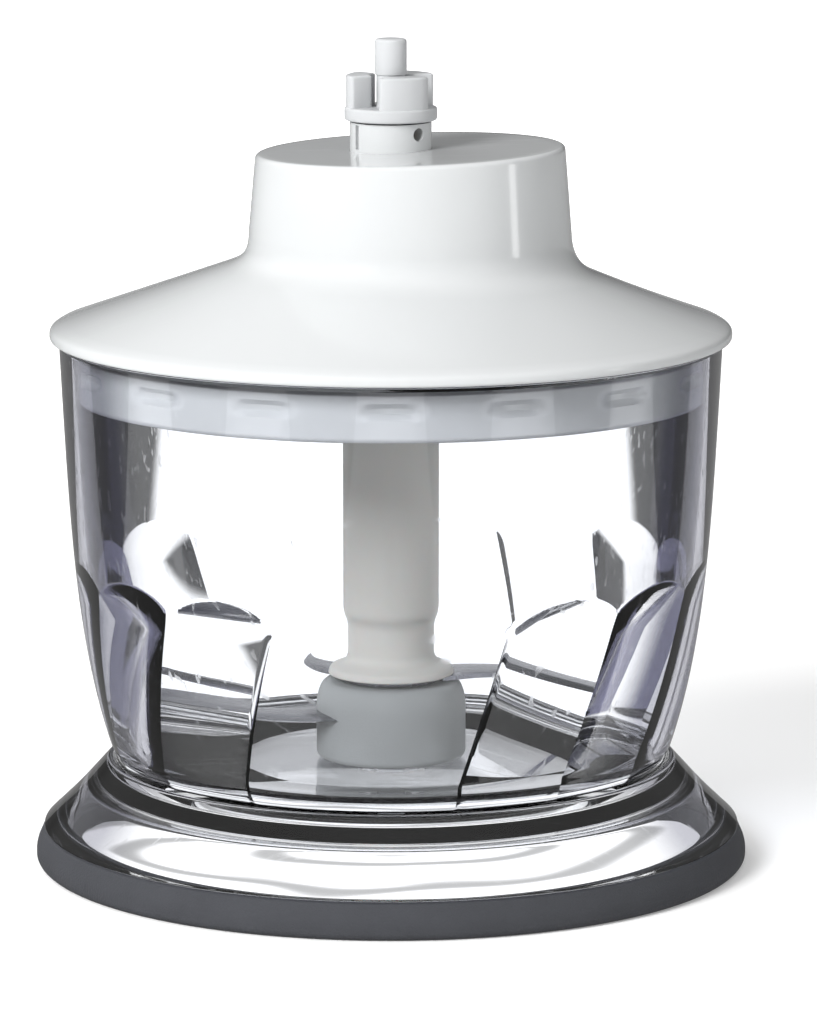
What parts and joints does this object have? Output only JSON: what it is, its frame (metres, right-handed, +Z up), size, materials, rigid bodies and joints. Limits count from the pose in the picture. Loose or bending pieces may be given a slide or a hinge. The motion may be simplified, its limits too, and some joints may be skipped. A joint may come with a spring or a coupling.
{
  "type": "hand blender chopper attachment",
  "caption": "Chopper attachment of a hand blender: fluted clear bowl on an anti-slip base, pin-mounted blade unit and a geared lid with a drive coupling.",
  "frame": {"origin": "middle of the base's underside, on the bowl's axis", "axes": "+Z up along the bowl's axis, +X towards the side that the lid's neck is offset to, the viewer's side is -Y"},
  "size_m": [0.1306, 0.1306, 0.151],
  "materials": {
    "clear_plastic": "clear moulded plastic with a faint cool tint, glossy",
    "rubber": "matte dark grey rubber",
    "steel_pin": "turned steel",
    "blade_steel": "ground stainless steel",
    "ivory_plastic": "satin off-white plastic",
    "frosted_plastic": "frosted translucent plastic",
    "white_plastic": "glossy white plastic",
    "coupling_plastic": "satin light grey plastic",
    "bronze": "sintered bronze",
    "gear_plastic": "natural acetal",
    "dark_plastic": "dark glass-filled nylon"
  },
  "bodies": {
    "base": {"base_shell": "clear_plastic", "grip_ring": "rubber"},
    "bowl": {"bowl": "clear_plastic", "pivot_pin": "steel_pin"},
    "blade_unit": {"blade_hub": "ivory_plastic", "hub_skirt": "frosted_plastic", "hub_bush": "bronze", "drive_insert": "dark_plastic", "lower_blade": "blade_steel", "upper_blade": "blade_steel", "blade_spacer": "ivory_plastic", "blade_retainer": "steel_pin"},
    "lid": {"lid_shell": "white_plastic", "lid_base": "white_plastic", "coupling_socket": "white_plastic", "upper_bush": "bronze", "gearbox_cover": "dark_plastic", "lower_bush": "bronze", "ring_gear": "gear_plastic", "output_bush": "bronze", "output_seal": "rubber", "lid_screws": "steel_pin"},
    "input": {"drive_shaft": "steel_pin", "drive_dog": "coupling_plastic", "sun_gear": "gear_plastic", "shaft_clip": "steel_pin"},
    "carrier": {"planet_carrier": "dark_plastic", "planet_pins": "steel_pin"},
    "planet_1": {"planet_gear_1": "gear_plastic"},
    "planet_2": {"planet_gear_2": "gear_plastic"},
    "planet_3": {"planet_gear_3": "gear_plastic"}
  },
  "joints": [
    {"name": "bowl_lift", "type": "slide", "parent": "base", "child": "bowl", "axis": [0, 0, 1], "range_m": [0, 0.05]},
    {"name": "blade_spin", "type": "hinge", "parent": "bowl", "child": "blade_unit", "pos_m": [0, 0, 0.03], "axis": [0, 0, 1], "continuous": true},
    {"name": "lid_lift", "type": "slide", "parent": "bowl", "child": "lid", "axis": [0, 0, 1], "range_m": [0, 0.1]},
    {"name": "input_spin", "type": "hinge", "parent": "lid", "child": "input", "pos_m": [0, 0, 0.13], "axis": [0, 0, 1], "continuous": true},
    {"name": "carrier_spin", "type": "hinge", "parent": "lid", "child": "carrier", "pos_m": [0, 0, 0.098], "axis": [0, 0, 1], "continuous": true},
    {"name": "planet_1_spin", "type": "hinge", "parent": "carrier", "child": "planet_1", "pos_m": [0, 0.012, 0.1025], "axis": [0, 0, 1], "continuous": true},
    {"name": "planet_2_spin", "type": "hinge", "parent": "carrier", "child": "planet_2", "pos_m": [-0.01039, -0.006, 0.1025], "axis": [0, 0, 1], "continuous": true},
    {"name": "planet_3_spin", "type": "hinge", "parent": "carrier", "child": "planet_3", "pos_m": [0.01039, -0.006, 0.1025], "axis": [0, 0, 1], "continuous": true}
  ],
  "couplings": [
    {"joint": "carrier_spin", "follows": "blade_spin", "ratio": 1},
    {"joint": "input_spin", "follows": "blade_spin", "ratio": 4},
    {"joint": "planet_1_spin", "follows": "blade_spin", "ratio": -3},
    {"joint": "planet_2_spin", "follows": "blade_spin", "ratio": -3},
    {"joint": "planet_3_spin", "follows": "blade_spin", "ratio": -3}
  ]
}
